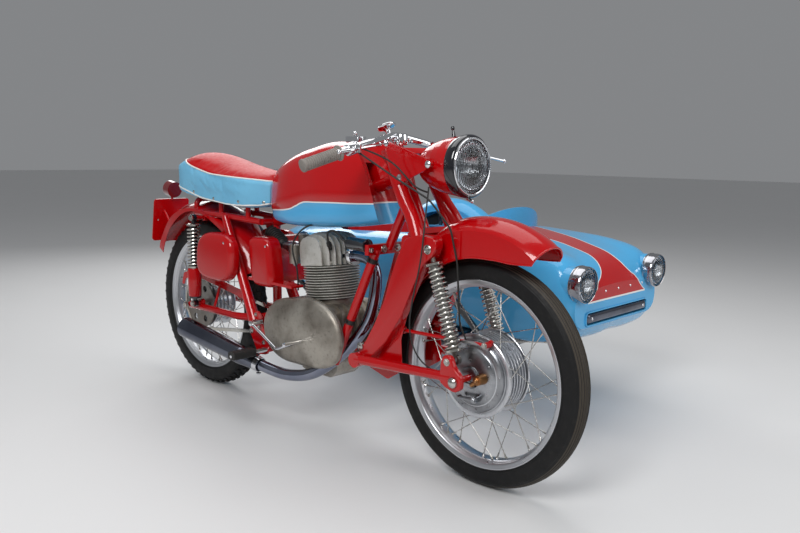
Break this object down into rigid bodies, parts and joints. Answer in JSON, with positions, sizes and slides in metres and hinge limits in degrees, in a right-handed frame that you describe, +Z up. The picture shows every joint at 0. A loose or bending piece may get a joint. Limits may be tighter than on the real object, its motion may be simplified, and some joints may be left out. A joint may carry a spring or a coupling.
{
  "type": "motorcycle with sidecar",
  "caption": "Motorcycle with a leading arm fork, single cylinder engine, spoked wheels and a boat shaped one seat sidecar on its left.",
  "frame": {"origin": "middle of the bounding box on the floor under the wheels", "axes": "+X towards the front wheel, +Y to the left where the sidecar is, +Z up"},
  "size_m": [2.157, 1.5748, 0.9676],
  "materials": {
    "tyre": "matte",
    "rim_alloy": "polished",
    "hub_alloy": "satin",
    "red_paint": "gloss",
    "blue_paint": "gloss",
    "bright_chrome": "polished",
    "steel": "satin",
    "seat_cover": "semi gloss",
    "tub_seat_cover": "semi gloss",
    "black_rubber": "matte",
    "grey_rubber": "matte",
    "lens_glass": "clear",
    "red_glass": "gloss",
    "cast_alloy": "satin"
  },
  "bodies": {
    "chassis": {"frame": "red_paint", "swing_arm": "red_paint", "rear_shock_bodies": "red_paint", "rear_springs": "bright_chrome", "rear_mudguard": "red_paint", "fuel_tank": "red_paint", "filler_cap": "bright_chrome", "seat": "seat_cover", "plate_bracket": "red_paint", "tail_lamp": "red_glass", "tool_boxes": "red_paint", "chain": "steel", "chain_guard": "red_paint", "engine_cases": "cast_alloy", "cylinder": "cast_alloy", "carburettor": "cast_alloy", "exhaust_pipe": "bright_chrome", "silencer": "bright_chrome", "foot_controls": "black_rubber", "ignition_coil": "black_rubber", "sidecar_tub": "blue_paint", "sidecar_screen": "blue_paint", "sidecar_lamp_bezels": "bright_chrome", "sidecar_lamp_lenses": "lens_glass", "sidecar_grille": "bright_chrome", "sidecar_seat": "tub_seat_cover", "sidecar_chassis": "red_paint", "sidecar_struts": "red_paint", "sidecar_mudguard": "blue_paint"},
    "steering": {"fork": "red_paint", "leading_arms": "red_paint", "front_brake_plate": "hub_alloy", "front_shock_bodies": "red_paint", "front_springs": "bright_chrome", "front_mudguard": "red_paint", "handlebar": "bright_chrome", "grips": "grey_rubber", "levers": "bright_chrome", "damper_knob": "bright_chrome", "headlamp_shell": "red_paint", "headlamp_rim": "bright_chrome", "headlamp_lens": "lens_glass", "lamp_ears": "red_paint", "control_cables": "black_rubber"},
    "front_wheel": {"front_tyre": "tyre", "front_rim": "rim_alloy", "front_hub": "hub_alloy"},
    "rear_wheel": {"rear_tyre": "tyre", "rear_rim": "rim_alloy", "rear_hub": "hub_alloy", "rear_sprocket": "steel"},
    "sidecar_wheel": {"sidecar_tyre": "tyre", "sidecar_rim": "rim_alloy", "sidecar_hub": "hub_alloy"}
  },
  "joints": [
    {"name": "steering_turn", "type": "hinge", "parent": "chassis", "child": "steering", "pos_m": [0.54026, -0.43461, 0.65], "axis": [-0.4431, 0, 0.8965], "range_deg": [-30, 30]},
    {"name": "front_wheel_spin", "type": "hinge", "parent": "steering", "child": "front_wheel", "pos_m": [0.77151, -0.43461, 0.307], "axis": [0, 1, 0], "continuous": true},
    {"name": "rear_wheel_spin", "type": "hinge", "parent": "chassis", "child": "rear_wheel", "pos_m": [-0.52848, -0.43461, 0.313], "axis": [0, 1, 0], "continuous": true},
    {"name": "sidecar_wheel_spin", "type": "hinge", "parent": "chassis", "child": "sidecar_wheel", "pos_m": [-0.33848, 0.72539, 0.307], "axis": [0, 1, 0], "continuous": true}
  ]
}
